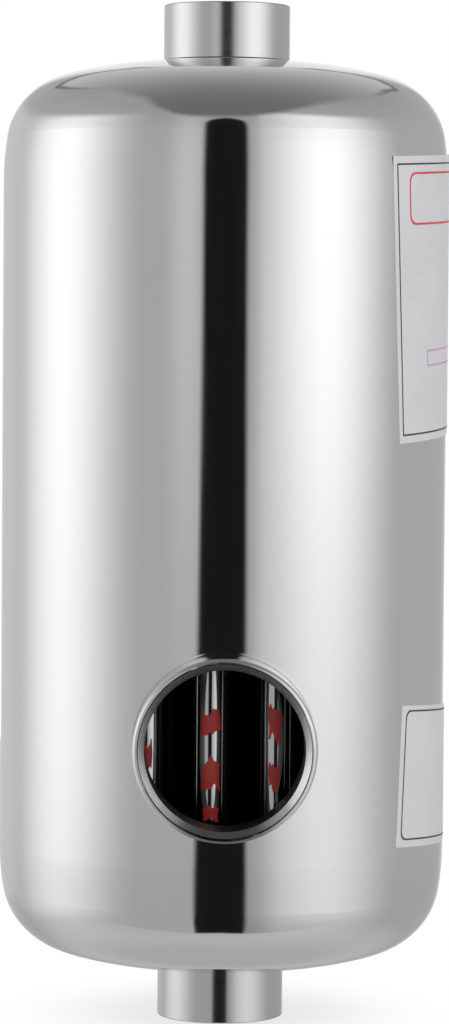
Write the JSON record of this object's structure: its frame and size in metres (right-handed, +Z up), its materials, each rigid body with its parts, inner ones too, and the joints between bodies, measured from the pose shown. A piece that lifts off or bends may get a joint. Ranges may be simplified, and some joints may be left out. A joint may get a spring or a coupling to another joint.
{
  "type": "pool heat exchanger",
  "caption": "Upright polished stainless shell with dished ends and a bundle of straight tubes, with threaded sockets on both ends and on the front and back.",
  "frame": {"origin": "centre of the bottom socket's rim, which is the bottom centre of the object", "axes": "+Z up along the shell's axis towards the top socket, -Y out of the lower, front water port, +Y out of the upper, rear water port"},
  "size_m": [0.1396, 0.1712, 0.3173],
  "materials": {
    "shell": "mirror polished stainless steel",
    "sockets": "turned and polished stainless steel",
    "welds": "polished weld bead",
    "tubes": "drawn stainless tube",
    "inside_plates": "mill finish stainless plate"
  },
  "bodies": {
    "root": {"shell_barrel": "shell", "top_head": "shell", "bottom_head": "shell", "top_nozzle": "sockets", "bottom_nozzle": "sockets", "top_nozzle_weld": "welds", "bottom_nozzle_weld": "welds", "front_port": "sockets", "rear_port": "sockets", "front_port_weld": "welds", "rear_port_weld": "welds", "lower_tube_sheet": "inside_plates", "upper_tube_sheet": "inside_plates", "lower_baffle": "inside_plates", "middle_baffle": "inside_plates", "upper_baffle": "inside_plates", "tie_rods": "inside_plates", "core_tube": "tubes", "inner_tubes": "tubes", "middle_tubes": "tubes", "outer_tubes": "tubes"}
  },
  "joints": []
}
